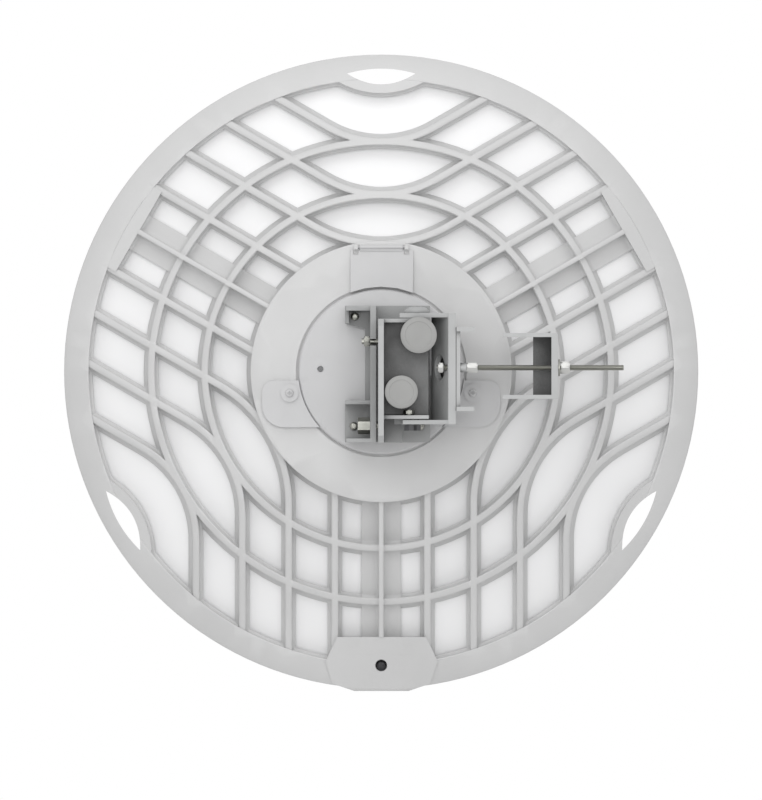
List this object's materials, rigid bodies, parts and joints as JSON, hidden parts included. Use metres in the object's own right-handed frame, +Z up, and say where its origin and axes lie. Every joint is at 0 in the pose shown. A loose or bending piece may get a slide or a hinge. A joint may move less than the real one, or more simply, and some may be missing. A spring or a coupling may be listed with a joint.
{
  "type": "outdoor wireless bridge",
  "caption": "Round dish on a moulded lattice frame with a radio housing at its hub, a feed in front, and a two-axis adjustable bracket that clamps to a mast.",
  "frame": {"origin": "on the mast's axis, midway up the clamp at the height of its rods", "axes": "+Z up along the mast, +Y the way the dish looks, +X from the dish's side of the mast towards the moving jaw"},
  "size_m": [0.65, 0.3845, 0.6524],
  "materials": {
    "frame_plastic": "moulded, satin light grey",
    "reflector_metal": "spun sheet, pale satin",
    "housing_plastic": "moulded, fine texture",
    "cap_plastic": "moulded, satin",
    "bracket_paint": "powder coated light grey",
    "plated_steel": "zinc plated",
    "dark_steel": "black oxide",
    "cast_aluminium": "cast and machined",
    "rubber": "matte",
    "board_green": "solder mask",
    "lens_smoke": "smoked lens",
    "dielectric": "off-white, smooth"
  },
  "bodies": {
    "root": {"mast_bracket": "bracket_paint", "fixed_jaw": "bracket_paint", "azimuth_pivot_top": "bracket_paint", "azimuth_pivot_top_nut": "plated_steel", "azimuth_pivot_bottom": "dark_steel", "azimuth_pivot_bottom_nut": "plated_steel", "azimuth_lock_bolt": "dark_steel", "azimuth_lock_nut": "plated_steel", "clamp_rod_front": "plated_steel", "clamp_rod_back": "plated_steel", "rod_end_nut_front": "plated_steel", "rod_end_nut_back": "plated_steel", "jaw_nut_front": "plated_steel", "jaw_nut_back": "plated_steel"},
    "moving_jaw": {"moving_jaw": "bracket_paint", "clamp_washer_front": "plated_steel", "clamp_washer_back": "plated_steel", "clamp_nut_front": "plated_steel", "clamp_nut_back": "plated_steel"},
    "carriage": {"azimuth_carriage": "bracket_paint", "elevation_pivot_bolt": "plated_steel", "elevation_pivot_nut": "bracket_paint", "elevation_lock_bolt": "plated_steel", "elevation_lock_nut": "plated_steel"},
    "azimuth_barrel": {"azimuth_barrel": "plated_steel"},
    "azimuth_knob": {"azimuth_knob": "cap_plastic", "azimuth_screw": "plated_steel"},
    "elevation_knob": {"elevation_knob": "cap_plastic", "elevation_screw": "plated_steel"},
    "elevation_barrel": {"elevation_barrel": "plated_steel"},
    "port_cover": {"port_cover": "housing_plastic"},
    "reset_button": {"reset_button": "rubber"},
    "dish_head": {"bracket_screw_1": "plated_steel", "bracket_screw_2": "plated_steel", "bracket_screw_3": "plated_steel", "bracket_screw_4": "plated_steel", "cable_grommet": "rubber", "ethernet_jack": "cast_aluminium", "feed_cap": "dielectric", "feed_cone": "dielectric", "feed_tube": "cast_aluminium", "foot_screw": "dark_steel", "front_housing": "housing_plastic", "ground_screw": "plated_steel", "housing_gasket": "rubber", "housing_screw_left": "plated_steel", "housing_screw_right": "plated_steel", "hub_bracket": "bracket_paint", "main_board": "board_green", "port_cover_pin": "plated_steel", "radio_chassis": "cast_aluminium", "rear_housing": "housing_plastic", "reflector": "reflector_metal", "rf_module": "cast_aluminium", "rib_frame": "frame_plastic", "status_light": "lens_smoke", "sub_reflector": "cast_aluminium"}
  },
  "joints": [
    {"name": "clamp_slide", "type": "slide", "parent": "root", "child": "moving_jaw", "axis": [1, 0, 0], "range_m": [-0.02, 0.04]},
    {"name": "azimuth", "type": "hinge", "parent": "root", "child": "carriage", "pos_m": [-0.0735, 0, 0], "axis": [0, 0, 1], "range_deg": [-8, 8]},
    {"name": "azimuth_barrel_turn", "type": "hinge", "parent": "root", "child": "azimuth_barrel", "pos_m": [-0.0893, 0, -0.0249], "axis": [0, 0, 1], "range_deg": [-9, 9]},
    {"name": "azimuth_knob_turn", "type": "hinge", "parent": "carriage", "child": "azimuth_knob", "pos_m": [-0.0893, -0.05, -0.0249], "axis": [0, 1, 0], "range_deg": [-320, 320]},
    {"name": "elevation_knob_turn", "type": "hinge", "parent": "carriage", "child": "elevation_knob", "pos_m": [-0.0716, -0.05, 0.0335], "axis": [0, 1, 0], "range_deg": [-2340, 2340]},
    {"name": "elevation", "type": "hinge", "parent": "carriage", "child": "dish_head", "pos_m": [-0.11, 0.045, -0.0595], "axis": [1, 0, 0], "range_deg": [-10, 10]},
    {"name": "elevation_barrel_turn", "type": "hinge", "parent": "dish_head", "child": "elevation_barrel", "pos_m": [-0.0716, 0.045, 0.0335], "axis": [1, 0, 0], "range_deg": [-11, 11]},
    {"name": "port_cover_hinge", "type": "hinge", "parent": "dish_head", "child": "port_cover", "pos_m": [-0.11, 0.0974, 0.1236], "axis": [-1, 0, 0], "range_deg": [0, 110]},
    {"name": "reset_press", "type": "slide", "parent": "dish_head", "child": "reset_button", "axis": [0, 1, 0], "range_m": [0, 0.0007], "stiffness_N_per_m": 300}
  ],
  "couplings": [
    {"joint": "azimuth_barrel_turn", "follows": "azimuth", "ratio": 1},
    {"joint": "azimuth_knob_turn", "follows": "azimuth", "ratio": 39.7},
    {"joint": "elevation_knob_turn", "follows": "elevation", "ratio": 233.7},
    {"joint": "elevation_barrel_turn", "follows": "elevation", "ratio": -1}
  ]
}
